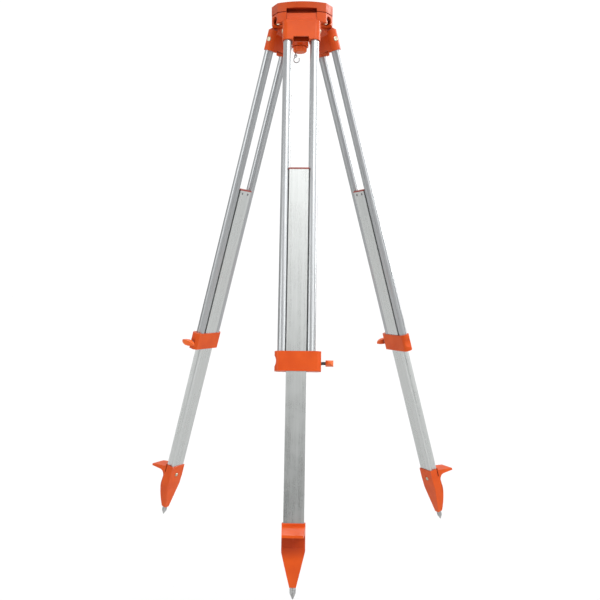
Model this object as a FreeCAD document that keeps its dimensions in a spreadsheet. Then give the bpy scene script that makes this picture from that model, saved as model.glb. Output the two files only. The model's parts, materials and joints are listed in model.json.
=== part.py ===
import FreeCAD, Part
import math
import os
import Sketcher
from FreeCAD import Placement, Rotation, Vector

# A surveyor's tripod: a three-lobed head on three splayed legs, each of two round tubes
# with a flat bar that slides out between them and ends in a spiked shoe.
#
# Frame: +Z up, floor at z = 0, origin under the middle of the footprint, front leg towards -Y.
# Head pieces are drawn with the origin at the centre of the seat, legs with the origin at
# their hinge axis: x along the hinge, -y outward, the leg hanging down -z. The centring arm
# and all it carries are drawn centred, then turned with the arm about its pivot.

DIMENSIONS = [
    # the tripod as it stands
    ("head_height", 1380, "seat above the floor"),
    ("axis_setback", 65, "head axis behind the middle of the footprint"),
    ("front_splay", 12.8, "degrees from vertical"),
    ("rear_splay", 17.1, "degrees from vertical"),
    # head castings
    ("side_radius", 145, "long side of the head, radius of its curve"),
    ("side_reach", 67, "middle of a long side from the axis"),
    ("lobe_reach", 79, "short facet from the axis"),
    ("opening_radius", 28, "round opening"),
    ("seat_ring_radius", 44, "ring round the opening at full height"),
    ("platform_thick", 21.8, "upper casting"),
    ("notch_height", 7, "relief over each hinge block"),
    ("seam_height", 2.2, "groove between the castings"),
    ("seam_inset", 2.5, "depth of that groove"),
    ("hub_inset", 0.4, "lower casting inside the outline of the upper one"),
    ("hub_screw_circle", 36.5, "hub screws from the head axis"),
    ("hub_screw_radius", 2, ""),
    ("hub_bottom", 46, "underside of the lower casting below the seat"),
    ("ring_plate", 3, "plate over the hinge barrels"),
    ("slot_half", 37.5, "half width of a hinge recess"),
    ("slot_start", 27.4, "inner end of a hinge recess from the axis"),
    ("plate_reach", 47, "outer edge of the ring plate at a recess"),
    # leg hinge
    ("pivot_reach", 38, "hinge axis from the head axis"),
    ("pivot_drop", 37.5, "hinge axis below the seat"),
    ("pin_radius", 4, "hinge bolt shank"),
    ("pin_clearance", 0.05, "radial"),
    ("bolt_face", 54, "outer face of bolt head and nut from the leg plane"),
    ("bolt_head_thick", 5, ""),
    ("bolt_head_radius", 6.5, ""),
    ("spotface_radius", 9, "pocket round a bolt head"),
    ("barrel_radius", 10, "hinge barrel of the leg block"),
    ("bush_radius", 6, "outside of the plastic bush"),
    ("bush_length", 14, ""),
    # hinge block
    ("neck_half", 37, "half width of the neck"),
    ("neck_front", 22, "outer face of the neck from the hinge axis"),
    ("neck_step", 9, "where that face starts to slope out, below the axis"),
    ("block_front", 36, "outer face from the hinge axis"),
    ("neck_top", 8, "top of the outer face above the hinge axis"),
    ("block_shoulder", 18.5, "start of the wide part below the axis"),
    ("block_bottom", 69, "lower end below the axis"),
    ("socket_wall", 3, "wall round a tube"),
    ("socket_top", 20, "upper end of the tube sockets"),
    ("socket_screw_drop", 42, "screws into the tubes, below the hinge axis"),
    ("socket_screw_radius", 6, "their flat heads"),
    ("socket_screw_seat", 1.7, "depth of the seats of those heads"),
    ("arch_half_low", 20.8, "cut-out between the sockets, at the bottom"),
    ("arch_half_top", 18, "cut-out between the sockets, at the top"),
    ("arch_height", 7, ""),
    # tubes
    ("tube_radius", 11, ""),
    ("tube_wall", 1.5, ""),
    ("tube_half_span", 33, "tube axis from the leg plane"),
    ("tube_offset", 22, "tube plane outward of the hinge axis"),
    ("fit_gap", 0.05, "between a tube and its socket"),
    # clamp bracket
    ("clamp_top", 837, "below the hinge axis"),
    ("clamp_height", 46, ""),
    ("clamp_left", 50, "plain end from the leg plane"),
    ("clamp_right", 57, "screw end from the leg plane"),
    ("clamp_depth_half", 12.75, "half thickness, front to back"),
    ("clamp_socket", 17, "depth of the tube sockets"),
    ("clamp_chamfer", 8, "corners of the screw end, along the screw"),
    ("clamp_chamfer_deep", 5.5, "the same corners, front to back"),
    ("waist_radius", 22, "hollow in the plain end"),
    ("waist_depth", 4, ""),
    ("screw_drop", 27, "clamp screw below the top of the bracket"),
    ("stud_radius", 4, "M8"),
    ("stud_bare", 10, "bare shank outside the bracket"),
    ("pad_half_width", 5, ""),
    ("pad_half_height", 6.5, ""),
    ("pad_back", 32, "back of the pad from the leg plane"),
    ("pad_gap", 0.3, "round the pad in its guide"),
    ("wing_half_length", 9, "along the screw"),
    ("wing_half_span", 20, "across the screw"),
    ("wing_half_thick", 7, ""),
    # sliding bar
    ("bar_half_width", 23, ""),
    ("bar_half_depth", 10.75, ""),
    ("bar_wall", 2, ""),
    ("groove_radius", 11.4, "side grooves, about the tube axes"),
    ("passage_gap", 0.5, "between bar and bracket"),
    ("bar_top", 421, "below the hinge axis when the shoe is at shoe_top"),
    ("cap_thick", 3, ""),
    ("cap_overhang", 1.3, ""),
    ("cap_plug", 12, ""),
    ("rivet_span", 12, "cap rivets from the leg plane"),
    ("rivet_drop", 8, "cap rivets below the bar's end"),
    # shoe
    ("shoe_top", 1239.5, "below the hinge axis"),
    ("shoe_half_width", 26, ""),
    ("shoe_straight", 61, "length at full width"),
    ("shoe_length", 137, ""),
    ("shoe_tip_half", 7.25, "half width at the lower end"),
    ("shoe_front", 14, "outer face from the bar's middle"),
    ("shoe_belly", 17, "fullest part of the outer face"),
    ("shoe_back", 13, "inner face from the bar's middle"),
    ("shoe_socket", 60, "depth of the bar in the shoe"),
    ("step_drop", 6, "top of the foot step at its root"),
    ("step_reach", 50, "foot step beyond the outer face"),
    ("step_fall", 15, "fall of the step along its reach"),
    ("step_thick", 6, ""),
    ("step_tip_half", 23.5, "half width of the step's edge"),
    ("rib_half", 2, "half thickness of rib and cheeks"),
    ("tip_length", 162.2, "shoe top to the end of the point"),
    ("point_radius", 6.8, ""),
    ("point_collar", 12, "straight part of the point"),
    ("shoe_bolt_drop", 28, "below the shoe top"),
    ("shoe_bolt_radius", 3, ""),
    ("shoe_bolt_seat", 1, "depth of the round seat under its head"),
    # centring arm and fixing screw
    ("arm_top", 49.5, "below the seat"),
    ("arm_thick", 4, ""),
    ("arm_pivot_reach", 50, "arm pivot from the head axis"),
    ("arm_turn", -6.55, "degrees, the arm as it stands"),
    ("arm_pin_radius", 3.5, ""),
    ("arm_neck_half", 8.5, ""),
    ("arm_wide_half", 17, ""),
    ("slide_half", 11, "travel of the carriage each way"),
    ("carriage_radius", 11, ""),
    ("carriage_flange", 15, ""),
    ("flange_thick", 2.2, ""),
    ("screw_radius", 7.94, "5/8 inch thread"),
    ("screw_clearance", 0.06, "radial"),
    ("screw_top", 1.5, "end of the screw below the seat"),
    ("collar_top", 68, "below the seat"),
    ("collar_radius", 21.5, ""),
    ("collar_flange", 11, "thickness of its wide part"),
    ("knob_top", 91, "below the seat"),
    ("knob_bottom", 104, "below the seat"),
    ("knob_grip", 9, "depth of the screw in the knob"),
    ("knob_radius", 17.5, ""),
    # plumb hook
    ("wire_radius", 1.1, ""),
    ("eye_radius", 3.2, "middle of the wire, eye and upper loop"),
    ("eye_gap", 1.2, "middle of the eye's wire below the knob"),
    ("eye_side", 11, "eye to the side of the axis"),
    ("hook_radius", 7.2, "middle of the wire, open hook"),
    ("hook_shift", 2.4, "open hook beside the upper loop"),
    ("hook_drop", 6.79, "open hook below the upper loop's wire"),
]

LEGS = [("front", 0, "front_splay"), ("right", 120, "rear_splay"), ("left", 240, "rear_splay")]
BIG = 200  # mm, wider than any piece that a cutting tool has to clear
LEG_LENGTH = 2000  # mm, the same for tools that run along a leg
CLOSE = 0.02  # mm, radial, thread in thread
LOOSE = 0.05  # mm, round a screw, pin or plug
ARM_GAP = 0.3  # mm, between the centring arm and the pieces that slide on it
HUB_SCREW_SPREAD = 9.5  # degrees, each hub screw of a pair from the middle of its lobe
HUB_SCREW_HEAD = 3.4  # mm, radius
BOLT_OVERHANG = 1.5  # mm, end of a hinge bolt beyond its nut
TUBE_SCREW = 2.35  # mm, radius of the screws into the tubes
RIVET = 1.6  # mm, radius
POINT_SHANK = 4  # mm, radius of the point's shank in the shoe
SCREW_LEAD = 1.5  # mm, cone at the end of the fixing screw
KNOB_DOME = 5  # mm, height of the knob's cone
KNOB_FLUTES = 12
EYE_STEM = 1  # mm, radius

doc = FreeCAD.newDocument("SurveyorTripod")
sheet = doc.addObject("Spreadsheet::Sheet", "Dimensions")
for row, (alias, number, note) in enumerate(DIMENSIONS, start=1):
    sheet.set(f"A{row}", alias)
    sheet.set(f"B{row}", str(number))
    sheet.set(f"C{row}", note)
    sheet.setAlias(f"B{row}", alias)
doc.recompute()


class Size:
    """A number together with the expression that gives it from the sheet."""

    def __init__(self, value, text):
        self.value = float(value)
        self.text = text

    def _join(self, other, sign, value):
        other_text = other.text if isinstance(other, Size) else repr(other)
        return Size(value, f"({self.text} {sign} {other_text})")

    def __add__(self, other):
        return self._join(other, "+", self.value + float(other))

    def __sub__(self, other):
        return self._join(other, "-", self.value - float(other))

    def __mul__(self, other):
        return self._join(other, "*", self.value * float(other))

    def __truediv__(self, other):
        return self._join(other, "/", self.value / float(other))

    def __neg__(self):
        return Size(-self.value, f"(-1 * {self.text})")

    def __float__(self):
        return self.value


class Sheet:
    """dim.name is the Size of the cell with that alias."""

    def __getattr__(self, alias):
        return Size(getattr(sheet, alias), f"Dimensions.{alias}")


dim = Sheet()
counter = {}


def new(kind, name):
    counter[name] = counter.get(name, 0) + 1
    return doc.addObject(kind, f"{name}_{counter[name]}")


def bind(item, prop, size):
    if isinstance(size, Size):
        item.setExpression(prop, size.text)
    else:
        item.setExpression(prop, repr(float(size)))


def put(item, x, y, z):
    """Bind the base point of a primitive's placement."""
    for axis, size in zip("xyz", (x, y, z)):
        bind(item, f"Placement.Base.{axis}", size)


def box(x0, x1, y0, y1, z0, z1):
    """A box between three pairs of planes; the lower plane of each pair comes first."""
    item = new("Part::Box", "Block")
    for prop, low, high in (("Length", x0, x1), ("Width", y0, y1), ("Height", z0, z1)):
        bind(item, prop, high - low if isinstance(high, Size) else -(low - high))
    put(item, x0, y0, z0)
    return item


TURN = {
    "x": Rotation(Vector(0, 1, 0), 90),
    "y": Rotation(Vector(1, 0, 0), -90),
    "z": Rotation(),
    "down": Rotation(Vector(1, 0, 0), 180),
}


def rod(radius, length, x, y, z, axis="z"):
    """A cylinder that starts at a point and runs along an axis."""
    item = new("Part::Cylinder", "Rod")
    item.Placement = Placement(Vector(), TURN[axis])
    bind(item, "Radius", radius)
    bind(item, "Height", length)
    put(item, x, y, z)
    return item


def cone(radius, end_radius, length, x, y, z, axis="down"):
    item = new("Part::Cone", "Taper")
    item.Placement = Placement(Vector(), TURN[axis])
    bind(item, "Radius1", radius)
    bind(item, "Radius2", end_radius)
    bind(item, "Height", length)
    put(item, x, y, z)
    return item


def hexagon(radius, height, x, y, z, axis):
    """A six-sided prism, its radius measured to the corners."""
    item = new("Part::Prism", "Hexagon")
    item.Polygon = 6
    item.Placement = Placement(Vector(), TURN[axis])
    bind(item, "Circumradius", radius)
    bind(item, "Height", height)
    put(item, x, y, z)
    return item


def ring(radius, wire, x, y, z, normal, start=0, sweep=360):
    """A bent wire: part of a torus, angles measured round its own axis."""
    item = new("Part::Torus", "Bend")
    item.Placement = Placement(Vector(), normal * Rotation(Vector(0, 0, 1), start))
    bind(item, "Radius1", radius)
    bind(item, "Radius2", wire)
    item.Angle3 = sweep
    put(item, x, y, z)
    return item


def ball(radius, x, y, z):
    item = new("Part::Sphere", "Ball")
    bind(item, "Radius", radius)
    put(item, x, y, z)
    return item


def fuse(*items):
    item = new("Part::MultiFuse", "Union")
    item.Shapes = list(items)
    item.Refine = True
    return item


def common(*items):
    item = new("Part::MultiCommon", "Overlap")
    item.Shapes = list(items)
    return item


def cut(base, *tools):
    item = new("Part::Cut", "Cut")
    item.Base = base
    item.Tool = tools[0] if len(tools) == 1 else group(*tools)
    return item


def group(*items):
    item = new("Part::Compound", "Group")
    item.Links = list(items)
    return item


def turned(item, angle):
    """A copy of a tool, turned about the head axis."""
    item.Placement = Placement(Vector(), Rotation(Vector(0, 0, 1), angle)).multiply(item.Placement)
    return item


def outline(points, plane):
    """A closed sketch through points, each a pair of Sizes; a triple's third item bulges the
    side that ends there into an arc, as its rise over the chord."""
    sketch = new("Sketcher::SketchObject", "Outline")
    sketch.Placement = plane
    count = len(points)
    flat = [Vector(float(point[0]), float(point[1]), 0) for point in points]
    ends = []
    for index in range(count):
        start = flat[index - 1]
        end = flat[index]
        rise = points[index][2] if len(points[index]) > 2 else None
        if rise is None:
            geometry = sketch.addGeometry(Part.LineSegment(start, end), False)
            ends.append((geometry, 1, 2))
            continue
        chord = end - start
        side = Vector(chord.y, -chord.x, 0).normalize()
        middle = (start + end) * 0.5 + side * float(rise)
        geometry = sketch.addGeometry(Part.Arc(start, middle, end), False)
        forward = sketch.getPoint(geometry, 1).distanceToPoint(start) < 1e-6
        ends.append((geometry, 1, 2) if forward else (geometry, 2, 1))
        radius = chord.Length ** 2 / (8 * abs(float(rise))) + abs(float(rise)) / 2
        sketch.addConstraint(Sketcher.Constraint("Radius", geometry, radius))
    for index in range(count):
        geometry, _, last = ends[index]
        follower, first, _ = ends[(index + 1) % count]
        sketch.addConstraint(Sketcher.Constraint("Coincident", geometry, last, follower, first))
        for kind, size, value in (("DistanceX", points[index][0], flat[index].x),
                                  ("DistanceY", points[index][1], flat[index].y)):
            number = sketch.addConstraint(Sketcher.Constraint(kind, -1, 1, geometry, last, value))
            name = f"{kind}_{index}"
            sketch.renameConstraint(number, name)
            bind(sketch, f"Constraints.{name}", size)
    return sketch


# sketch planes: the sketch's x and y run along these axes, and its normal along the third
FACING_FRONT = Placement(Vector(), Rotation(Vector(1, 0, 0), 90))  # x, z; normal -y
UPRIGHT = Rotation(Vector(0, 1, 0), Vector(0, 0, 1), Vector(1, 0, 0), "XYZ")
FACING_SIDE = Placement(Vector(), UPRIGHT)  # y, z; normal x
FACING_UP = Placement()


def extrude(points, plane, normal, low, high):
    """A prism of an outline, between two distances along its normal."""
    item = new("Part::Extrusion", "Prism")
    item.Base = outline(points, plane)
    item.DirMode = "Custom"
    item.Dir = normal
    item.Solid = True
    bind(item, "LengthFwd", high)
    bind(item, "LengthRev", -low if isinstance(low, Size) else -float(low))
    return item


def origin_plane(owner, role):
    return next(f for f in owner.Origin.OriginFeatures if f.Role == role)


def tube_body(node, outer, inner, bottom, top, x, y):
    """A round tube along z as a body: one padded sketch of two circles."""
    owner = doc.addObject("PartDesign::Body", f"Body_{node}")
    sketch = owner.newObject("Sketcher::SketchObject", f"Section_{node}")
    sketch.AttachmentSupport = [(origin_plane(owner, "XY_Plane"), "")]
    sketch.MapMode = "FlatFace"
    centre = Vector(float(x), float(y), 0)
    for index, radius in enumerate((outer, inner)):
        sketch.addGeometry(Part.Circle(centre, Vector(0, 0, 1), float(radius)), False)
        for kind, size, value in (("DistanceX", x, centre.x), ("DistanceY", y, centre.y)):
            number = sketch.addConstraint(Sketcher.Constraint(kind, -1, 1, index, 3, value))
            sketch.renameConstraint(number, f"{kind}_{index}")
            bind(sketch, f"Constraints.{kind}_{index}", size)
        number = sketch.addConstraint(Sketcher.Constraint("Radius", index, float(radius)))
        sketch.renameConstraint(number, f"Radius_{index}")
        bind(sketch, f"Constraints.Radius_{index}", radius)
    bind(sketch, "AttachmentOffset.Base.z", bottom)
    pad = owner.newObject("PartDesign::Pad", f"Wall_{node}")
    pad.Profile = sketch
    bind(pad, "Length", top - bottom)
    return owner


finished = []


def finish(item, node, place):
    """Name a sub-part and put it in its place on the tripod."""
    item.Label = node
    finished.append((item, node, place))


# ---------------------------------------------------------------- places

HEAD = Placement(Vector(0, sheet.axis_setback, sheet.head_height), Rotation())
PIVOT = Vector(0, sheet.arm_pivot_reach, 0)
ARM = HEAD.multiply(Placement(Vector(), Rotation(Vector(0, 0, 1), sheet.arm_turn), PIVOT))


def leg_place(angle, splay):
    around = Placement(Vector(), Rotation(Vector(0, 0, 1), angle))
    hinge = Vector(0, -sheet.pivot_reach, -sheet.pivot_drop)
    to_hinge = Placement(hinge, Rotation(Vector(1, 0, 0), -splay))
    return HEAD.multiply(around).multiply(to_hinge)


def extension(splay):
    """How far the bar is out, past its drawn place, so that the point meets the floor."""
    angle = math.radians(splay)
    hinge_height = sheet.head_height - sheet.pivot_drop
    reach = (hinge_height + sheet.tube_offset * math.sin(angle)) / math.cos(angle)
    return reach - sheet.shoe_top - sheet.tip_length


# ---------------------------------------------------------------- head castings


def head_blank(inset, low, height):
    """The rounded triangle: three wide curves and three short facets."""
    parts = []
    for angle in (0, 120, 240):
        centre = dim.side_radius - dim.side_reach
        side = rod(dim.side_radius - inset, height, 0, 0, low)
        turn = math.radians(angle)
        bind(side, "Placement.Base.x", centre * (-math.sin(turn)))
        bind(side, "Placement.Base.y", centre * math.cos(turn))
        parts.append(side)
    facets = new("Part::Prism", "Facets")
    facets.Polygon = 3
    facets.Placement = Placement(Vector(), Rotation(Vector(0, 0, 1), -90))
    bind(facets, "Circumradius", (dim.lobe_reach - inset) * 2)
    bind(facets, "Height", height)
    bind(facets, "Placement.Base.z", low)
    return common(facets, *parts)


def three(make):
    """The same tool for each leg, turned about the head axis."""
    tools = []
    for _, angle, _ in LEGS:
        tools.append(turned(group(*make()), angle))
    return tools


def head_platform():
    thick = dim.platform_thick
    upper = head_blank(0, -thick, thick)
    lower = head_blank(dim.seam_inset, -thick - dim.seam_height, dim.seam_height)
    blank = fuse(upper, lower)
    opening = rod(dim.opening_radius, 60, 0, 0, -50)
    half = dim.slot_half

    def notch():
        return [box(-half, half, -BIG, -dim.seat_ring_radius, -BIG, -(thick - dim.notch_height))]

    screws = [rod(dim.hub_screw_radius + CLOSE, 61, x, y, -74) for x, y in hub_screw_places()]
    finish(cut(blank, opening, *screws, *three(notch)), "head_platform", HEAD)


def hinge_hub():
    top = -(dim.platform_thick + dim.seam_height)
    blank = head_blank(dim.hub_inset, -dim.hub_bottom, dim.hub_bottom + top)
    opening = rod(dim.opening_radius, 90, 0, 0, -70)
    half = dim.slot_half
    plate = top - dim.ring_plate

    def recess():
        axis_y = -dim.pivot_reach
        axis_z = -dim.pivot_drop
        seat = dim.bolt_face - dim.bolt_head_thick
        return [
            box(-half, half, -BIG, -dim.slot_start, -BIG, plate),
            box(-half, half, -BIG, -dim.plate_reach, -BIG, 0),
            rod(dim.pin_radius + dim.fit_gap, 140, -70, axis_y, axis_z, "x"),
            rod(dim.spotface_radius, 60, seat, axis_y, axis_z, "x"),
            rod(dim.spotface_radius, 60, -seat - 60, axis_y, axis_z, "x"),
        ]

    pin_hole = rod(dim.arm_pin_radius + LOOSE, 5, 0, dim.arm_pivot_reach, -dim.hub_bottom)
    screws = [rod(dim.hub_screw_radius + LOOSE, 60, x, y, -60) for x, y in hub_screw_places()]
    seats = [rod(HUB_SCREW_HEAD + 0.2, 3, x, y, -dim.hub_bottom) for x, y in hub_screw_places()]
    finish(cut(blank, opening, pin_hole, *screws, *seats, *three(recess)), "hinge_hub", HEAD)


def hub_screw_places():
    places = []
    for lobe in (90, 210, 330):
        for side in (-HUB_SCREW_SPREAD, HUB_SCREW_SPREAD):
            angle = math.radians(lobe + side)
            x = dim.hub_screw_circle * math.cos(angle)
            y = dim.hub_screw_circle * math.sin(angle)
            places.append((x, y))
    return places


def hub_screws():
    solids = []
    for x, y in hub_screw_places():
        low = -dim.hub_bottom + 0.1
        head = rod(HUB_SCREW_HEAD, 2.9, x, y, low)
        shank = rod(dim.hub_screw_radius, dim.hub_bottom - 14, x, y, low)
        drive = hexagon(1.6, 2, x, y, -dim.hub_bottom, "z")
        solids.append(cut(fuse(head, shank), drive))
    finish(group(*solids), "hub_screws", HEAD)


def pivot_hardware():
    """Hinge bolts and nuts of all three legs; both stay with the head."""
    bolts = []
    nuts = []
    for _, angle, _ in LEGS:
        axis_y = -dim.pivot_reach
        axis_z = -dim.pivot_drop
        seat = dim.bolt_face - dim.bolt_head_thick
        start = -dim.bolt_face - BOLT_OVERHANG
        shank = rod(dim.pin_radius, seat - start, start, axis_y, axis_z, "x")
        head = rod(dim.bolt_head_radius, dim.bolt_head_thick, seat, axis_y, axis_z, "x")
        drive = hexagon(2.9, 4, dim.bolt_face - 2.6, axis_y, axis_z, "x")
        bolts.append(turned(cut(fuse(shank, head), drive), angle))
        nut = hexagon(dim.bolt_head_radius, dim.bolt_head_thick, -dim.bolt_face, axis_y, axis_z, "x")
        bore = rod(dim.pin_radius + CLOSE, 20, -dim.bolt_face - 5, axis_y, axis_z, "x")
        nuts.append(turned(cut(nut, bore), angle))
    finish(group(*bolts), "pivot_bolts", HEAD)
    finish(group(*nuts), "pivot_nuts", HEAD)


# ---------------------------------------------------------------- centring arm and fixing screw


def centring_arm():
    low = -(dim.arm_top + dim.arm_thick)
    thick = dim.arm_thick
    slide = dim.slide_half
    wide = dim.arm_wide_half
    neck = dim.arm_neck_half
    slot = dim.carriage_radius + ARM_GAP
    plate = fuse(
        rod(wide, thick, 0, slide, low),
        rod(wide, thick, 0, -slide, low),
        box(-wide, wide, -slide, slide, low, -dim.arm_top),
        box(-neck, neck, slide, dim.arm_pivot_reach, low, -dim.arm_top),
        rod(neck, thick, 0, dim.arm_pivot_reach, low),
    )
    tools = [
        rod(slot, 20, 0, slide, low - 5),
        rod(slot, 20, 0, -slide, low - 5),
        box(-slot, slot, -slide, slide, low - 5, low + 15),
        rod(dim.arm_pin_radius + LOOSE, 20, 0, dim.arm_pivot_reach, low - 5),
    ]
    finish(cut(plate, *tools), "centring_arm", ARM)


def arm_pivot():
    low = -(dim.arm_top + dim.arm_thick)
    x, y = 0, dim.arm_pivot_reach
    spacer_low = -dim.arm_top + ARM_GAP
    spacer = rod(6.5, -dim.hub_bottom - spacer_low, x, y, spacer_low)
    pin = rod(dim.arm_pin_radius, -dim.hub_bottom + 5 - low, x, y, low - 0.4)
    head = rod(6.5, 2.6, x, y, low - 3)
    finish(fuse(spacer, pin, head), "arm_pivot", HEAD)


def arm_carriage():
    arm_low = -(dim.arm_top + dim.arm_thick)
    low = arm_low - ARM_GAP - dim.flange_thick
    high = -dim.arm_top + ARM_GAP + dim.flange_thick
    blank = fuse(
        rod(dim.carriage_radius, high - low, 0, 0, low),
        rod(dim.carriage_flange, dim.flange_thick, 0, 0, low),
        rod(dim.carriage_flange, dim.flange_thick, 0, 0, high - dim.flange_thick),
    )
    bore = rod(dim.screw_radius + dim.screw_clearance, 40, 0, 0, low - 10)
    finish(cut(blank, bore), "arm_carriage", ARM)


def fixing_screw():
    low = -dim.knob_top - dim.knob_grip
    lead_low = -dim.screw_top - SCREW_LEAD
    shank = rod(dim.screw_radius, lead_low - low, 0, 0, low)
    lead = cone(dim.screw_radius, dim.screw_radius - SCREW_LEAD, SCREW_LEAD, 0, 0, lead_low, "z")
    groove = cut(rod(9, 1.3, 0, 0, -46.6), rod(dim.screw_radius - 1, 1.3, 0, 0, -46.6))
    finish(cut(fuse(shank, lead), groove), "fixing_screw", ARM)


def screw_clip():
    """Spring clip in a groove of the screw: it keeps the screw from dropping out."""
    blank = cut(rod(11, 1.2, 0, 0, -46.55), rod(dim.screw_radius - 0.95, 3, 0, 0, -47.5))
    mouth = box(-3, 3, 0, BIG, -48, -44)
    finish(cut(blank, mouth), "screw_clip", ARM)


def screw_collar():
    """Loose collar between knob and carriage; it goes up with the screw but doesn't turn."""
    low = -dim.knob_top + 0.4
    blank = fuse(
        rod(dim.collar_radius, dim.collar_flange, 0, 0, low),
        rod(dim.collar_radius - 4, -dim.collar_top - low, 0, 0, low),
    )
    bore = rod(dim.screw_radius + dim.screw_clearance, 30, 0, 0, low - 5)
    finish(cut(blank, bore), "screw_collar", ARM)


def fixing_knob():
    dome_top = -dim.knob_bottom + KNOB_DOME
    barrel = rod(dim.knob_radius, -dim.knob_top - dome_top, 0, 0, dome_top)
    dome = cone(dim.knob_radius, dim.knob_radius - 4, KNOB_DOME, 0, 0, dome_top)
    bore = rod(dim.screw_radius + CLOSE, dim.knob_grip, 0, 0, -dim.knob_top - dim.knob_grip)
    flutes = []
    for index in range(KNOB_FLUTES):
        angle = 2 * math.pi * index / KNOB_FLUTES
        reach = dim.knob_radius + 1.2
        flute = rod(2.2, 60, 0, 0, dome_top - 1)
        bind(flute, "Placement.Base.x", reach * math.cos(angle))
        bind(flute, "Placement.Base.y", reach * math.sin(angle))
        flutes.append(flute)
    eye_hole = rod(EYE_STEM + CLOSE, 8, -dim.eye_side, 0, -dim.knob_bottom - 1)
    finish(cut(fuse(barrel, dome), bore, eye_hole, *flutes), "fixing_knob", ARM)


def hook_eye():
    """Screw eye under the knob, in the plane across the hook."""
    centre = -dim.knob_bottom - dim.eye_radius - dim.eye_gap
    across = Rotation(Vector(0, 1, 0), 90)
    loop = ring(dim.eye_radius, dim.wire_radius, -dim.eye_side, 0, centre, across)
    stem = rod(EYE_STEM, 6.2, -dim.eye_side, 0, -dim.knob_bottom - dim.eye_gap)
    finish(fuse(loop, stem), "hook_eye", ARM)


def plumb_hook():
    """S-shaped wire: a closed loop through the eye and an open hook below."""
    eye_bottom = -dim.knob_bottom - dim.eye_radius * 2 - dim.eye_gap
    loop_top = eye_bottom + dim.wire_radius * 2 + 0.3
    centre = loop_top - dim.eye_radius
    upright = Rotation(Vector(1, 0, 0), 90)
    loop = ring(dim.eye_radius, dim.wire_radius, -dim.eye_side, 0, centre, upright)
    hook_x = -dim.eye_side + dim.hook_shift
    hook_z = centre - dim.eye_radius - dim.hook_drop
    first = math.degrees(math.atan2(sheet.hook_drop, -sheet.hook_shift))
    last = 385
    bend = ring(dim.hook_radius, dim.wire_radius, hook_x, 0, hook_z, upright, first, last - first)
    tip = math.radians(last)
    end = ball(dim.wire_radius, hook_x + dim.hook_radius * math.cos(tip), 0,
               hook_z + dim.hook_radius * math.sin(tip))
    finish(fuse(loop, bend, end), "plumb_hook", ARM)


# ---------------------------------------------------------------- leg pieces


def hinge_block(leg, place):
    span = dim.tube_half_span
    y = -dim.tube_offset
    wall = dim.tube_radius + dim.socket_wall
    bottom = -dim.block_bottom
    height = dim.block_bottom - dim.block_shoulder
    front = -dim.block_front
    back = y + wall
    neck = extrude(
        [
            (-dim.neck_front, dim.neck_top),
            (-dim.neck_front, -dim.neck_step),
            (front, -dim.block_shoulder),
            (front, -dim.block_shoulder - 8),
            (back, -dim.block_shoulder - 8),
            (dim.barrel_radius * 0.2, dim.barrel_radius * -0.98),
            (-dim.barrel_radius * 0.8, dim.barrel_radius * 0.5),
        ],
        FACING_SIDE, Vector(1, 0, 0), -dim.neck_half, dim.neck_half,
    )
    blank = fuse(
        rod(dim.barrel_radius, dim.neck_half * 2, -dim.neck_half, 0, 0, "x"),
        neck,
        box(-span, span, front, back, bottom, -dim.block_shoulder),
        rod(wall, height, span, y, bottom),
        rod(wall, height, -span, y, bottom),
    )
    socket = dim.tube_radius + dim.fit_gap
    depth = dim.block_bottom - dim.socket_top
    arch = extrude(
        [
            (-dim.arch_half_low, bottom - 1),
            (dim.arch_half_low, bottom - 1),
            (dim.arch_half_top, bottom + dim.arch_height),
            (-dim.arch_half_top, bottom + dim.arch_height),
        ],
        FACING_FRONT, Vector(0, -1, 0), -BIG, BIG,
    )
    screw_z = -dim.socket_screw_drop
    seat = span + wall - dim.socket_screw_seat
    tools = [
        rod(socket, depth, span, y, bottom),
        rod(socket, depth, -span, y, bottom),
        box(-dim.arch_half_top, dim.arch_half_top, front + 3, back - 3, bottom, -24),
        arch,
        rod(dim.pin_radius + 0.4, 100, -50, 0, 0, "x"),
        rod(dim.bush_radius, dim.bush_length, -dim.neck_half, 0, 0, "x"),
        rod(dim.bush_radius, dim.bush_length, dim.neck_half - dim.bush_length, 0, 0, "x"),
        rod(TUBE_SCREW + LOOSE, 20, span + 4, y, screw_z, "x"),
        rod(TUBE_SCREW + LOOSE, 20, -span - 24, y, screw_z, "x"),
        rod(dim.socket_screw_radius + 0.2, 9, seat, y, screw_z, "x"),
        rod(dim.socket_screw_radius + 0.2, 9, -seat - 9, y, screw_z, "x"),
    ]
    finish(cut(blank, *tools), f"{leg}_hinge_block", place)


def pivot_bushes(leg, place):
    solids = []
    for start in (-dim.neck_half, dim.neck_half - dim.bush_length):
        sleeve = rod(dim.bush_radius, dim.bush_length, start, 0, 0, "x")
        bore = rod(dim.pin_radius + dim.pin_clearance, 40, start - 10, 0, 0, "x")
        solids.append(cut(sleeve, bore))
    finish(group(*solids), f"{leg}_pivot_bushes", place)


def tubes(leg, place):
    bottom = -dim.clamp_top - dim.clamp_socket
    for side, x in (("left", -dim.tube_half_span), ("right", dim.tube_half_span * 1)):
        node = f"{leg}_{side}_tube"
        inner = dim.tube_radius - dim.tube_wall
        item = tube_body(node, dim.tube_radius, inner, bottom, -dim.socket_top, x, -dim.tube_offset)
        finish(item, node, place)


def tube_screws(leg, place):
    """Screws through the outer walls of the block's sockets into the tubes."""
    y = -dim.tube_offset
    z = -dim.socket_screw_drop
    seat = dim.tube_half_span + dim.tube_radius + dim.socket_wall - dim.socket_screw_seat
    head = 2.6
    shank = 10
    right = fuse(
        rod(dim.socket_screw_radius, head, seat, y, z, "x"),
        rod(TUBE_SCREW, shank + 0.5, seat - shank, y, z, "x"),
    )
    left = fuse(
        rod(dim.socket_screw_radius, head, -seat - head, y, z, "x"),
        rod(TUBE_SCREW, shank + 0.5, -seat - 0.5, y, z, "x"),
    )
    finish(group(left, right), f"{leg}_tube_screws", place)


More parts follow.
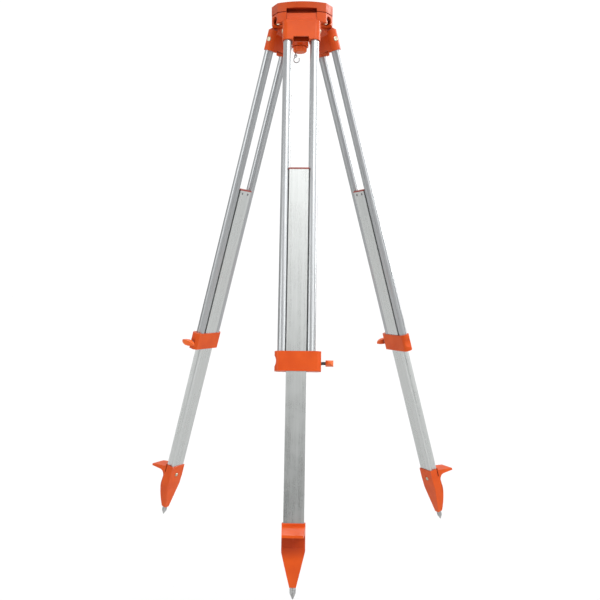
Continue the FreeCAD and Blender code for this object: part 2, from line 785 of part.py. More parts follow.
def clamp_bracket(leg, place):
    y = -dim.tube_offset
    half = dim.clamp_depth_half
    top = -dim.clamp_top
    bottom = top - dim.clamp_height
    end = -dim.clamp_left + half
    right = dim.clamp_right
    corner = right - dim.clamp_chamfer
    narrow = half - dim.clamp_chamfer_deep
    screw_z = top - dim.screw_drop
    main = extrude(
        [
            (end, y + half),
            (end, y - half),
            (corner, y - half),
            (right, y - narrow),
            (right, y + narrow),
            (corner, y + half),
        ],
        FACING_UP, Vector(0, 0, -1), -top, -bottom,
    )
    blank = fuse(main, rod(half, dim.clamp_height, end, y, bottom))
    waist_x = -dim.clamp_left + dim.waist_depth - dim.waist_radius
    guide_y = dim.pad_half_width + dim.pad_gap
    guide_z = dim.pad_half_height + dim.pad_gap
    gap = dim.passage_gap
    socket = dim.tube_radius + dim.fit_gap
    wide = dim.bar_half_width + gap
    deep = dim.bar_half_depth + gap
    passage = box(-wide, wide, y - deep, y + deep, bottom - 1, top + 1)
    guide = box(
        dim.bar_half_width - 1, dim.pad_back + 2, y - guide_y, y + guide_y,
        screw_z - guide_z, screw_z + guide_z,
    )
    tools = [
        rod(dim.waist_radius, 60, waist_x, y - 30, screw_z + 4, "y"),
        passage,
        guide,
        rod(socket, dim.clamp_socket + 1, dim.tube_half_span, y, top - dim.clamp_socket),
        rod(socket, dim.clamp_socket + 1, -dim.tube_half_span, y, top - dim.clamp_socket),
        rod(dim.stud_radius + LOOSE, 60, dim.pad_back - 5, y, screw_z, "x"),
    ]
    finish(cut(blank, *tools), f"{leg}_clamp_bracket", place)


def clamp_screw(leg, place):
    y = -dim.tube_offset
    screw_z = -dim.clamp_top - dim.screw_drop
    wing_x = dim.clamp_right + dim.stud_bare + dim.wing_half_length
    start = dim.pad_back + 0.1
    shank = rod(dim.stud_radius, wing_x + 3 - start, start, y, screw_z, "x")
    lead = cone(dim.stud_radius, dim.stud_radius - 1, 1, wing_x + 3, y, screw_z, "x")
    finish(fuse(shank, lead), f"{leg}_clamp_stud", place)
    blunt = 2.2
    span = dim.wing_half_span
    long_half = dim.wing_half_length
    thick = dim.wing_half_thick
    outside = extrude(
        [
            (wing_x - blunt, y + span, blunt / 2),
            (wing_x - blunt, y - span, float(long_half) - blunt),
            (wing_x + blunt, y - span, blunt / 2),
            (wing_x + blunt, y + span, float(long_half) - blunt),
        ],
        FACING_UP, Vector(0, 0, -1), -(screw_z + thick), -(screw_z - thick),
    )
    section = extrude(
        [
            (y - span, screw_z - blunt),
            (y + span, screw_z - blunt, float(thick) - blunt),
            (y + span, screw_z + blunt),
            (y - span, screw_z + blunt, float(thick) - blunt),
        ],
        FACING_SIDE, Vector(1, 0, 0), wing_x - long_half, wing_x + long_half,
    )
    boss = rod(6.5, dim.wing_half_length * 2 - 1.5, wing_x - long_half, y, screw_z, "x")
    bore = rod(dim.stud_radius + CLOSE, dim.wing_half_length + 24, wing_x - long_half - 20, y, screw_z, "x")
    finish(cut(fuse(common(outside, section), boss), bore), f"{leg}_clamp_wing", place)


def pressure_pad(leg, place):
    """The screw pushes this pad on the bar; its nose has the round of the side groove."""
    y = -dim.tube_offset
    screw_z = -dim.clamp_top - dim.screw_drop
    block = box(dim.bar_half_width - 5, dim.pad_back, y - dim.pad_half_width, y + dim.pad_half_width,
                screw_z - dim.pad_half_height, screw_z + dim.pad_half_height)
    nose = rod(dim.tube_radius, 40, dim.tube_half_span, y, screw_z - 20)
    finish(common(block, nose), f"{leg}_pressure_pad", place)


def side_grooves(radius, bottom, top):
    y = -dim.tube_offset
    return [rod(radius, top - bottom, dim.tube_half_span * side, y, bottom) for side in (-1, 1)]


def extension_bar(leg, place):
    y = -dim.tube_offset
    bottom = -dim.shoe_top - dim.shoe_socket
    top = -dim.bar_top
    wide = dim.bar_half_width
    deep = dim.bar_half_depth
    wall = dim.bar_wall
    inner_wide = dim.tube_half_span - dim.groove_radius - wall
    blank = box(-wide, wide, y - deep, y + deep, bottom, top)
    hollow = box(-inner_wide, inner_wide, y - deep + wall, y + deep - wall, bottom - 1, top + 1)
    grooves = side_grooves(dim.groove_radius, bottom - 1, top + 1)
    bolt_z = -dim.shoe_top - dim.shoe_bolt_drop
    bolt = rod(dim.shoe_bolt_radius + LOOSE, 20, 0, y + 4, bolt_z, "y")
    rivet_z = top - dim.rivet_drop
    rivets = [rod(RIVET + LOOSE, 10, dim.rivet_span * side, y + 4, rivet_z, "y") for side in (-1, 1)]
    finish(cut(blank, hollow, bolt, *grooves, *rivets), f"{leg}_extension_bar", place)


def extension_cap(leg, place):
    y = -dim.tube_offset
    top = -dim.bar_top
    wide = dim.bar_half_width + dim.cap_overhang
    deep = dim.bar_half_depth + dim.cap_overhang
    flange = box(-wide, wide, y - deep, y + deep, top, top + dim.cap_thick)
    inner = dim.tube_half_span - dim.groove_radius - dim.bar_wall - LOOSE
    plug_deep = dim.bar_half_depth - dim.bar_wall - LOOSE
    plug = box(-inner, inner, y - plug_deep, y + plug_deep, top - dim.cap_plug, top)
    grooves = side_grooves(dim.groove_radius + 0.1, top - 1, top + 10)
    rivet_z = top - dim.rivet_drop
    rivets = [rod(RIVET + LOOSE, 14, dim.rivet_span * side, y, rivet_z, "y") for side in (-1, 1)]
    finish(cut(fuse(flange, plug), *grooves, *rivets), f"{leg}_extension_cap", place)


def cap_rivets(leg, place):
    face = -dim.tube_offset + dim.bar_half_depth
    z = -dim.bar_top - dim.rivet_drop
    solids = []
    for side in (-1, 1):
        head = rod(2.8, 0.9, dim.rivet_span * side, face, z, "y")
        shank = rod(RIVET, 9, dim.rivet_span * side, face - 9, z, "y")
        solids.append(fuse(head, shank))
    finish(group(*solids), f"{leg}_cap_rivets", place)


def foot_shoe(leg, place):
    """Cast shoe: the overlap of its side, front and plan outlines, with a foot step outward."""
    y = -dim.tube_offset
    top = -dim.shoe_top
    low = top - dim.shoe_length
    front = y - dim.shoe_front
    belly = y - dim.shoe_belly
    back = y + dim.shoe_back
    step = top - dim.step_drop
    edge = front - dim.step_reach
    edge_z = step - dim.step_fall
    wide = dim.shoe_half_width
    profile = extrude(
        [
            (back, top),
            (front, top),
            (front, step),
            (edge, edge_z),
            (edge, edge_z - dim.step_thick),
            (front - 16, step - dim.step_fall * 0.4 - dim.step_thick - 5),
            (front - 1, top - 42, -6),
            (belly, top - 72),
            (y - dim.shoe_tip_half, low, 2.5),
            (y + dim.shoe_tip_half, low),
            (back, top - 30),
        ],
        FACING_SIDE, Vector(1, 0, 0), -wide, wide,
    )
    face = extrude(
        [
            (-wide, top),
            (-wide, top - dim.shoe_straight),
            (-dim.shoe_tip_half, low),
            (dim.shoe_tip_half, low),
            (wide, top - dim.shoe_straight),
            (wide, top),
        ],
        FACING_FRONT, Vector(0, -1, 0), -BIG, BIG,
    )
    plan = extrude(
        [
            (-wide, back),
            (-wide, front),
            (-dim.step_tip_half, edge),
            (dim.step_tip_half, edge),
            (wide, front),
            (wide, back),
        ],
        FACING_UP, Vector(0, 0, -1), 0, LEG_LENGTH,
    )
    gap = dim.fit_gap
    socket = box(-dim.bar_half_width - gap, dim.bar_half_width + gap, y - dim.bar_half_depth - gap,
                 y + dim.bar_half_depth + gap, top - dim.shoe_socket, top + 1)
    scoop_low = top - 52
    plate_low = step - dim.step_thick
    hollow = [
        (front - 0.6, plate_low),
        (front - 0.6, scoop_low),
        (edge - 1, scoop_low),
        (edge - 1, plate_low - dim.step_fall),
    ]
    cheek = wide - dim.rib_half * 2
    scoops = [
        extrude(hollow, FACING_SIDE, Vector(1, 0, 0), dim.rib_half, cheek),
        extrude(hollow, FACING_SIDE, Vector(1, 0, 0), -cheek, -dim.rib_half),
    ]
    slits = []
    for side in (-1, 1):
        x = wide * side
        slits.append(box(x - 5, x + 5, front + 2.6, front + 5.4, top - 24, top + 1))
    bolt_z = top - dim.shoe_bolt_drop
    bolt = rod(dim.shoe_bolt_radius + LOOSE, 20, 0, y + 4, bolt_z, "y")
    seat = rod(7, 20, 0, back - dim.shoe_bolt_seat, bolt_z, "y")
    point = rod(POINT_SHANK + LOOSE, 30, 0, y, low - 1)
    shape = cut(common(profile, face, plan), socket, *scoops, *slits, bolt, seat, point)
    finish(shape, f"{leg}_foot_shoe", place)


def shoe_bolt(leg, place):
    """Holds the bar in the shoe, through the inner wall of both."""
    y = -dim.tube_offset + dim.shoe_back - dim.shoe_bolt_seat
    z = -dim.shoe_top - dim.shoe_bolt_drop
    head = rod(5.2, 3, 0, y, z, "y")
    shank = rod(dim.shoe_bolt_radius, 9, 0, y - 8, z, "y")
    drive = hexagon(2.6, 4, 0, y + 1.2, z, "y")
    finish(cut(fuse(head, shank), drive), f"{leg}_shoe_bolt", place)


def foot_point(leg, place):
    y = -dim.tube_offset
    low = -dim.shoe_top - dim.shoe_length
    taper = dim.tip_length - dim.shoe_length - dim.point_collar
    shape = fuse(
        rod(POINT_SHANK, 28.8, 0, y, low),
        rod(dim.point_radius, dim.point_collar, 0, y, low - dim.point_collar),
        cone(dim.point_radius, 0.8, taper, 0, y, low - dim.point_collar),
    )
    finish(shape, f"{leg}_foot_point", place)


# ---------------------------------------------------------------- assembly

head_platform()
hinge_hub()
hub_screws()
pivot_hardware()
centring_arm()
arm_pivot()
arm_carriage()
fixing_screw()
screw_clip()
screw_collar()
fixing_knob()
hook_eye()
plumb_hook()
for leg_name, leg_angle, splay_name in LEGS:
    leg_splay = getattr(sheet, splay_name)
    upper = leg_place(leg_angle, leg_splay)
    lower = upper.multiply(Placement(Vector(0, 0, -extension(leg_splay)), Rotation()))
    for make in (hinge_block, pivot_bushes, tubes, tube_screws, clamp_bracket, clamp_screw, pressure_pad):
        make(leg_name, upper)
    for make in (extension_bar, extension_cap, cap_rivets, foot_shoe, shoe_bolt, foot_point):
        make(leg_name, lower)
doc.recompute()
for item, _, place in finished:
    item.Placement = place.multiply(item.Placement)
doc.recompute()

# ---------------------------------------------------------------- checks and export

failed = [f.Name for f in doc.Objects if "Invalid" in f.State or "Error" in f.State]
if failed:
    raise RuntimeError(f"features failed: {failed}")
os.makedirs("parts", exist_ok=True)
for item, node, _ in finished:
    shape = item.Shape
    if shape.isNull() or not shape.isValid() or not shape.Solids:
        raise RuntimeError(f"{node} has no valid solid")
    shape.exportStep(f"parts/{node}.step")
print(f"{len(finished)} sub-parts")
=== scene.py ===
"""Looks of a surveyor's tripod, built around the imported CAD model. Lengths are in metres
unless a name ends in _MM."""

import json
import math
from array import array

import bmesh
import bpy
from mathutils import Matrix, Vector

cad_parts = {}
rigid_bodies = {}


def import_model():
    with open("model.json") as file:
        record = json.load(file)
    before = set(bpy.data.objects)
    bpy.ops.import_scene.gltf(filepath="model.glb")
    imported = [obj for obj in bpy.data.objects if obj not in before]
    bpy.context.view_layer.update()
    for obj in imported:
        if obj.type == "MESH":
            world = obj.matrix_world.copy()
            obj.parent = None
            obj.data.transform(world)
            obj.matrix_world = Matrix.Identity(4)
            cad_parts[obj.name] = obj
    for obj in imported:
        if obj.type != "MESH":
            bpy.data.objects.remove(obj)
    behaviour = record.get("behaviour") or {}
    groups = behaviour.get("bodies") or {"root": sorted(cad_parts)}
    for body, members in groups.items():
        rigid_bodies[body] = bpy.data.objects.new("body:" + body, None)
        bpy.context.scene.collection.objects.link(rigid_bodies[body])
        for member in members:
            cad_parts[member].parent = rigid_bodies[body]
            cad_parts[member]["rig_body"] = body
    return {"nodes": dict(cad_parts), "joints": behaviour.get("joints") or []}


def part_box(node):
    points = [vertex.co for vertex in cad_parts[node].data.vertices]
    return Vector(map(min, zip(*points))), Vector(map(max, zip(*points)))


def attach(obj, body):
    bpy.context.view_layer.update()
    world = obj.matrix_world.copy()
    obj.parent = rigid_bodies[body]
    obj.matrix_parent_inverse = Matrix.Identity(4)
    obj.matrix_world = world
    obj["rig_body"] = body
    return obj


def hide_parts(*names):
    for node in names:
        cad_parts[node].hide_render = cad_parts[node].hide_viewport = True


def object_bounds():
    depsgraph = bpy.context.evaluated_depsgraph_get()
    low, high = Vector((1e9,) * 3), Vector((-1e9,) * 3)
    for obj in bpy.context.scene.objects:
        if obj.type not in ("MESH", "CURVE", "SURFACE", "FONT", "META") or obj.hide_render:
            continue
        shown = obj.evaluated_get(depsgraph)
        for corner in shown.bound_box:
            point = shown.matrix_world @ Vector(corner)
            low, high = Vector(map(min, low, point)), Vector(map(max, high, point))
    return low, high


MM = 0.001
LEGS = ("front", "right", "left")

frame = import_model()
cad_low, cad_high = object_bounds()
joints = {j["name"]: j for j in frame["joints"]}
nodes = frame["nodes"]
slot_of = {name: node.data.materials[0].name for name, node in nodes.items()}
body_of = {name: node["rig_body"] for name, node in nodes.items()}


# ---------------------------------------------------------------- places


def head_place():
    """Origin at the centre of the seat. The three hinges are at the same distance from it, and
    the front one runs along x, so each other hinge's y is half that distance behind."""
    front = Vector(joints["front_leg_swing"]["pos_m"])
    side = Vector(joints["right_leg_swing"]["pos_m"])
    reach = (side.y - front.y) / 1.5
    return Matrix.Translation((front.x, front.y + reach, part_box("head_platform")[1].z))


def arm_place():
    """Origin at the fixing screw, y along the centring arm."""
    x, y, _ = joints["screw_spin"]["pos_m"]
    along = Vector(joints["carriage_slide"]["axis"])
    turn = Matrix.Rotation(math.atan2(-along.x, along.y), 4, "Z")
    return Matrix.Translation((x, y, HEAD.translation.z)) @ turn


def leg_place(leg):
    """Origin at the hinge axis, x along it, the leg hanging down -z, -y outward."""
    swing = joints[f"{leg}_leg_swing"]
    x_axis = -Vector(swing["axis"]).normalized()
    z_axis = -Vector(joints[f"{leg}_leg_extend"]["axis"]).normalized()
    y_axis = z_axis.cross(x_axis)
    turn = Matrix((x_axis, y_axis, z_axis)).transposed().to_4x4()
    return Matrix.Translation(swing["pos_m"]) @ turn


HEAD = head_place()
ARM = arm_place()
ARM_BODIES = ("arm", "carriage", "collar", "screw", "hook")
LEG = {leg: leg_place(leg) for leg in LEGS}


def place_of(node):
    if body_of[node] in ARM_BODIES:
        return ARM
    return LEG.get(node.split("_")[0], HEAD)


# ---------------------------------------------------------------- materials


MIX_SOCKETS = 0, 6, 7  # factor and the two colours of a Mix node
MIX_RESULT = 2


class Look:
    """A material under construction: a Principled shader and short ways to feed it."""

    def __init__(self, name):
        self.data = bpy.data.materials.new(name)
        self.data.use_nodes = True
        self.tree = self.data.node_tree
        self.tree.nodes.clear()
        self.shader = self.add("BsdfPrincipled")
        output = self.add("OutputMaterial")
        self.tree.links.new(self.shader.outputs[0], output.inputs[0])
        self.where = self.add("Attribute", attribute_name="local").outputs["Vector"]

    def add(self, kind, **settings):
        node = self.tree.nodes.new("ShaderNode" + kind)
        for key, value in settings.items():
            setattr(node, key, value)
        return node

    def feed(self, socket, value):
        if isinstance(value, bpy.types.NodeSocket):
            self.tree.links.new(value, socket)
        elif isinstance(value, tuple) and len(value) == 3 and socket.type == "RGBA":
            socket.default_value = (*value, 1)
        else:
            socket.default_value = value

    def math(self, operation, a, b=0.0):
        node = self.add("Math", operation=operation)
        self.feed(node.inputs[0], a)
        self.feed(node.inputs[1], b)
        return node.outputs[0]

    def stretched(self, x, y, z):
        node = self.add("Mapping")
        self.feed(node.inputs["Vector"], self.where)
        node.inputs["Scale"].default_value = (x, y, z)
        return node.outputs[0]

    def noise(self, scale, detail=2.0, where=None, roughness=0.5, distortion=0.0):
        node = self.add("TexNoise")
        self.feed(node.inputs["Vector"], where or self.where)
        node.inputs["Scale"].default_value = scale
        node.inputs["Detail"].default_value = detail
        node.inputs["Roughness"].default_value = roughness
        node.inputs["Distortion"].default_value = distortion
        return node.outputs["Fac"]

    def between(self, value, low, high, out_low=0.0, out_high=1.0):
        """A soft step: out_low where value is at low, out_high where it is at high."""
        node = self.add("MapRange", interpolation_type="SMOOTHSTEP")
        self.feed(node.inputs["Value"], value)
        ends = {"From Min": low, "From Max": high, "To Min": out_low, "To Max": out_high}
        for name, number in ends.items():
            node.inputs[name].default_value = number
        return node.outputs[0]

    def mix(self, factor, a, b):
        """Colour a where factor is 0, colour b where it is 1."""
        node = self.add("Mix", data_type="RGBA")
        for socket, value in zip(MIX_SOCKETS, (factor, a, b)):
            self.feed(node.inputs[socket], value)
        return node.outputs[MIX_RESULT]

    def hidden(self, reach, most):
        """A mask for painted shade: up to most in corners and where something lies over the
        surface within reach.
        """
        corner = self.add("AmbientOcclusion", samples=4, inside=False)
        corner.inputs["Distance"].default_value = reach
        return self.between(corner.outputs["AO"], 0.2, 0.85, most, 0.0)

    def axes(self):
        """The place's x, y and z, one output each."""
        split = self.add("SeparateXYZ")
        self.feed(split.inputs[0], self.where)
        return split.outputs

    def shade_under_step(self, top, face):
        """A mask for painted shade: 1 on the outer face of a shoe just below its foot step,
        fading downward. top is the shoe's top and face its outer face, both as heights along the
        place's z and y."""
        _, y, z = self.axes()
        outside = self.between(y, face, face + 0.0025, 1.0, 0.0)
        below = self.between(z, top - 0.030, top - 0.026, 1.0, 0.0)
        fading = self.between(z, top - 0.084, top - 0.056)
        return self.math("MULTIPLY", self.math("MULTIPLY", outside, below), fading)

    def worn(self):
        """1 on the rounded edges that dressed() marks, broken up by noise."""
        edge = self.add("Attribute", attribute_name="edge").outputs["Fac"]
        patches = self.between(self.noise(120, 4), 0.42, 0.62)
        return self.math("MULTIPLY", edge, patches)

    def seat_ring(self, inner, outer):
        """Rubbed patches and fine circles between two radii, on top only."""
        x, y, z = self.axes()
        flat = self.add("CombineXYZ")
        self.feed(flat.inputs[0], x)
        self.feed(flat.inputs[1], y)
        reach = self.add("VectorMath", operation="LENGTH")
        self.feed(reach.inputs[0], flat.outputs[0])
        distance = reach.outputs["Value"]
        inside = self.between(distance, outer - 0.004, outer, 1.0, 0.0)
        beyond = self.between(distance, inner, inner + 0.003)
        on_top = self.between(z, -0.0012, -0.0004)
        patches = self.between(self.noise(70, 5, distortion=0.5), 0.38, 0.66)
        ring = self.math("MULTIPLY", self.math("MULTIPLY", inside, beyond), on_top)
        circles = self.noise(1, 2, where=self.line(distance, 2600))
        return self.math("MULTIPLY", ring, patches), circles

    def line(self, value, scale):
        """A vector that varies with one value only."""
        node = self.add("CombineXYZ")
        self.feed(node.inputs[0], self.math("MULTIPLY", value, scale))
        return node.outputs[0]

    def bumps(self, *layers):
        """Layers are (height, strength, distance in metres)."""
        normal = None
        for height, strength, distance in layers:
            node = self.add("Bump")
            self.feed(node.inputs["Height"], height)
            node.inputs["Strength"].default_value = strength
            node.inputs["Distance"].default_value = distance
            if normal:
                self.feed(node.inputs["Normal"], normal)
            normal = node.outputs[0]
        self.feed(self.shader.inputs["Normal"], normal)

    def set(self, **values):
        for name, value in values.items():
            self.feed(self.shader.inputs[name.replace("_", " ")], value)
        return self.data


# The two colours below are painted shade: a deep red for the coat and a dark grey for metal,
# mixed in where corners and close parts hide the surface.
PAINTED_SHADE_RED = (0.30, 0.014, 0.006)
PAINTED_SHADE_GREY = (0.16, 0.14, 0.13)


def paint(name, main, deep, light, grain, gloss, seat=None, step=None):
    """Powder coat on a casting: orange peel, faint clouds, paler worn edges, painted shade in
    corners.
    With seat, a pair of radii, also the rubbed ring that an instrument's base leaves on top.
    With step, the two heights that the mask below a foot step wants, also painted shade below
    that step."""
    look = Look(name)
    clouds = look.between(look.noise(26, 3), 0.3, 0.7)
    colour = look.mix(clouds, deep, main)
    flecks = look.between(look.noise(950, 2), 0.66, 0.8)
    colour = look.mix(look.math("MULTIPLY", flecks, 0.2), colour, light)
    colour = look.mix(look.math("MULTIPLY", look.worn(), 0.5), colour, light)
    # painted shade: the colour darkens to a deep red in corners and where parts lie close over
    # the coat
    painted_shade = look.hidden(0.03, 0.75)
    if step:
        # painted shade below the foot step: a darker band on the shoe's outer face, joined to the
        # shade in corners
        painted_shade = look.math("MAXIMUM", painted_shade, look.math("MULTIPLY", look.shade_under_step(*step), 0.5))
    colour = look.mix(painted_shade, colour, PAINTED_SHADE_RED)
    patches = look.noise(60, 4, distortion=0.6)
    smudges = look.between(patches, 0.35, 0.75, gloss - 0.05, gloss + 0.11)
    layers = [(look.noise(grain, 3), 0.25, 0.0004), (look.noise(520, 2), 0.22, 0.00022)]
    if seat:
        rubbed, circles = look.seat_ring(*seat)
        colour = look.mix(look.math("MULTIPLY", rubbed, 0.55), colour, light)
        smudges = look.math("SUBTRACT", smudges, look.math("MULTIPLY", rubbed, 0.1))
        layers.append((circles, 0.2, 0.00006))
    look.bumps(*layers)
    look.shader.inputs["Specular IOR Level"].default_value = 0.26
    return look.set(Base_Color=colour, Roughness=smudges)


def drawn_aluminium(name, pale, dark, rough_low, rough_high, streak_scale):
    """Drawn or extruded along z: fine lines lengthwise, faint patches, a few scuffs."""
    look = Look(name)
    lengthwise = look.stretched(1, 1, 0.012)
    lines = look.noise(streak_scale, 3, lengthwise, roughness=0.65)
    wide = look.noise(160, 2, lengthwise)
    tone = look.math("ADD", look.math("MULTIPLY", lines, 0.6), look.math("MULTIPLY", wide, 0.4))
    colour = look.mix(look.between(tone, 0.3, 0.7), dark, pale)
    patches = look.between(look.noise(18, 4, distortion=0.4), 0.4, 0.72)
    scuffs = look.between(look.noise(900, 2, look.stretched(1, 1, 0.05)), 0.68, 0.78)
    colour = look.mix(look.math("MULTIPLY", scuffs, 0.25), colour, pale)
    # painted shade: darker grey where parts lie close over the metal, as below a clamp bracket
    # and beside the tubes
    colour = look.mix(look.hidden(0.008, 0.3), colour, PAINTED_SHADE_GREY)
    rough = look.between(tone, 0.25, 0.75, rough_low, rough_high)
    rough = look.math("ADD", rough, look.math("MULTIPLY", patches, 0.06))
    look.bumps((lines, 0.12, 0.00008), (scuffs, 0.1, 0.00005))
    look.shader.inputs["Metallic"].default_value = 1.0
    return look.set(Base_Color=colour, Roughness=rough)


def plated_steel(name, pale, tint, rough, grain=260):
    """Passivated or plated steel: cloudy tint, fine grain."""
    look = Look(name)
    clouds = look.between(look.noise(grain, 3, distortion=0.8), 0.35, 0.65)
    colour = look.mix(clouds, tint, pale)
    colour = look.mix(look.math("MULTIPLY", look.worn(), 0.5), colour, pale)
    fine = look.noise(1800, 2)
    look.bumps((fine, 0.18, 0.00006))
    look.shader.inputs["Metallic"].default_value = 1.0
    return look.set(Base_Color=colour, Roughness=look.between(clouds, 0, 1, rough, rough + 0.12))


def turned_steel(name, pale, dark, rough):
    """Machined on a lathe: fine rings round the axis."""
    look = Look(name)
    rings = look.noise(1500, 2, look.stretched(0.02, 0.02, 1))
    patches = look.between(look.noise(140, 4, distortion=0.5), 0.4, 0.66)
    colour = look.mix(patches, dark, pale)
    look.bumps((rings, 0.3, 0.00008))
    look.shader.inputs["Metallic"].default_value = 1.0
    matt = look.between(rings, 0.3, 0.7, rough - 0.06, rough + 0.1)
    return look.set(Base_Color=colour, Roughness=matt)


def moulded(name, colour, pale, rough):
    """Plastic with a fine spark-eroded grain."""
    look = Look(name)
    shade = look.mix(look.between(look.noise(90, 3), 0.35, 0.7), colour, pale)
    look.bumps((look.noise(1100, 3), 0.2, 0.00012))
    matt = look.between(look.noise(200, 3), 0.3, 0.7, rough, rough + 0.15)
    return look.set(Base_Color=shade, Roughness=matt)


# main, deep and light colour of the powder coat
COAT = (0.80, 0.104, 0.010), (0.72, 0.084, 0.008), (0.88, 0.21, 0.05)
# the head platform's coat: the same coat made darker, painted shade on the platform's rim, with
# the rubbed seat ring on top
SHADED_COAT_TOP = (0.68, 0.090, 0.014), (0.61, 0.074, 0.011), (0.88, 0.21, 0.05)
SEAT_RING = 0.029, 0.062
PEEL, COAT_GLOSS = 140, 0.34
ORANGE = paint("orange_powder_coat", *COAT, PEEL, COAT_GLOSS)
ORANGE_TOP = paint("orange_powder_coat_shaded_rubbed", *SHADED_COAT_TOP, PEEL, COAT_GLOSS, SEAT_RING)
ORANGE_PLASTIC = paint(
    "orange_moulding", (0.95, 0.170, 0.032), (0.88, 0.140, 0.026), (0.92, 0.28, 0.08), 90, 0.42
)
CAP = moulded("dark_red_cap", (0.36, 0.045, 0.030), (0.42, 0.07, 0.05), 0.4)
TUBE = drawn_aluminium(
    "anodised_tube", (0.60, 0.615, 0.625), (0.50, 0.52, 0.53), 0.25, 0.36, 1300
)
BAR = drawn_aluminium(
    "extruded_aluminium", (0.79, 0.81, 0.80), (0.68, 0.705, 0.69), 0.22, 0.33, 1900
)
ZINC = plated_steel("yellow_zinc", (0.86, 0.80, 0.62), (0.62, 0.56, 0.42), 0.28)
PLATE = plated_steel("bright_plate", (0.42, 0.42, 0.42), (0.29, 0.29, 0.30), 0.28, 120)
DARK = plated_steel("dark_steel", (0.22, 0.22, 0.22), (0.13, 0.13, 0.14), 0.36)
POINT = turned_steel("point_steel", (0.66, 0.66, 0.65), (0.46, 0.46, 0.46), 0.34)
WIRE = plated_steel("bright_wire", (0.52, 0.53, 0.55), (0.38, 0.39, 0.41), 0.16, 90)
NYLON = moulded("black_nylon", (0.018, 0.018, 0.019), (0.035, 0.035, 0.037), 0.42)

LOOK_OF_SLOT = {
    "orange_coat": ORANGE,
    "anodised_tube": TUBE,
    "extruded_bar": BAR,
    "zinc_fastener": ZINC,
    "steel_plate": PLATE,
    "point_steel": POINT,
    "hook_wire": WIRE,
    "dark_rivet": DARK,
    "black_nylon": NYLON,
}


# ---------------------------------------------------------------- pieces


SEAM = 2e-6
FLAT_ANGLE = 0.4
SHOE_DEPTH = 0.0275  # a shoe's inner face to its outer face
THREAD_DEPTH = 0.54  # of the pitch
KNOB_FLUTES = 12
FLUTE_DEPTH_MM = 1.15
SCREW_RADIUS_MM = 7.94
STUD_RADIUS_MM = 4.0


def placed(bm, name, place, material, stands_for):
    """A piece from a mesh in the coordinates of its place. It rides with its node. Materials
    read those coordinates, so that streaks and grain follow the part."""
    mesh = bpy.data.meshes.new(name)
    bm.to_mesh(mesh)
    bm.free()
    points = array("f", [0.0]) * (3 * len(mesh.vertices))
    mesh.vertices.foreach_get("co", points)
    mesh.attributes.new("local", "FLOAT_VECTOR", "POINT").data.foreach_set("vector", points)
    mesh.transform(place)
    mesh.shade_smooth()
    mesh.materials.append(material)
    piece = bpy.data.objects.new(name, mesh)
    bpy.context.scene.collection.objects.link(piece)
    weighted = piece.modifiers.new("Even_shading", "WEIGHTED_NORMAL")
    weighted.keep_sharp = True
    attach(piece, body_of[stands_for[0]])
    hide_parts(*stands_for)
    return piece


def clean_mesh(node, place):
    """The node's own mesh in the coordinates of its place, seams closed, flats merged."""
    bm = bmesh.new()
    bm.from_mesh(nodes[node].data)
    bm.transform(place.inverted())
    bmesh.ops.remove_doubles(bm, verts=bm.verts, dist=SEAM)
    bmesh.ops.dissolve_limit(
        bm,
        angle_limit=math.radians(FLAT_ANGLE),
        verts=bm.verts,
        edges=bm.edges,
        use_dissolve_boundaries=False,
    )
    return bm


def round_edges(bm, width, segments, above):
    """Rounds the edges sharper than `above` degrees and marks the new faces as edge."""
    limit = math.radians(above)
    sharp = [e for e in bm.edges if len(e.link_faces) == 2 and e.calc_face_angle(0) > limit]
    mark = bm.loops.layers.float.new("edge")
    made = bmesh.ops.bevel(
        bm,
        geom=sharp,
        offset=width,
        offset_type="OFFSET",
        segments=segments,
        profile=0.5,
        affect="EDGES",
        clamp_overlap=True,
    )
    for face in made["faces"]:
        for loop in face.loops:
            loop[mark] = 1.0


def extent(node):
    """Lowest and highest corners of a node in the coordinates of its place."""
    back = place_of(node).inverted()
    points = [back @ v.co for v in nodes[node].data.vertices]
    low = Vector(min(p[i] for p in points) for i in range(3))
    high = Vector(max(p[i] for p in points) for i in range(3))
    return low, high


def lathe(bm, rows, segments, turn):
    """Rings of a turned part, each (height, radius) in millimetres; a radius may be a function
    of the angle. Both ends are closed."""
    rings = []
    for height, radius in rows:
        ring = []
        for index in range(segments):
            angle = 2 * math.pi * index / segments
            reach = radius(angle) if callable(radius) else radius
            point = Vector((reach * math.cos(angle), reach * math.sin(angle), height)) * MM
            ring.append(bm.verts.new(turn @ point))
        rings.append(ring)
    for below, above in zip(rings, rings[1:]):
        for index in range(segments):
            after = (index + 1) % segments
            bm.faces.new((below[index], below[after], above[after], above[index]))
    bm.faces.new(list(reversed(rings[0])))
    bm.faces.new(rings[-1])


def hexagon(across_corners):
    """Radius by angle of a six-sided hole or nut."""
    inner = across_corners * math.cos(math.pi / 6)

    def reach(angle):
        return inner / math.cos((angle + math.pi / 6) % (math.pi / 3) - math.pi / 6)

    return reach


def threaded(node, radius, pitch, steps, segments, limits, axis, material):
    """A piece with a real thread. limits gives, for a height, the most that the radius may be
    there and whether it is threaded; heights run along the axis from one end."""
    low, high = extent(node)
    centre = (low + high) / 2
    index = "xyz".index(axis)
    start, end = low[index] / MM, high[index] / MM
    depth = pitch * THREAD_DEPTH
    count = max(2, int((end - start) / pitch * steps))
    rows = []
    for step in range(count + 1):
        height = start + (end - start) * step / count
        most, cut = limits(height, start, end)

        def reach(angle, height=height, most=most, cut=cut):
            phase = (height / pitch - angle / (2 * math.pi)) % 1
            groove = depth * min(1, max(0, (1 - abs(phase * 2 - 1)) * 1.25 - 0.12)) if cut else 0
            return min(most, radius - groove)

        rows.append((height, reach))
    bm = bmesh.new()
    turn = Matrix.Rotation(math.pi / 2, 4, "Y") if axis == "x" else Matrix()
    centre[index] = 0
    lathe(bm, rows, segments, Matrix.Translation(centre) @ turn)
    placed(bm, f"{node}_body", place_of(node), material, [node])


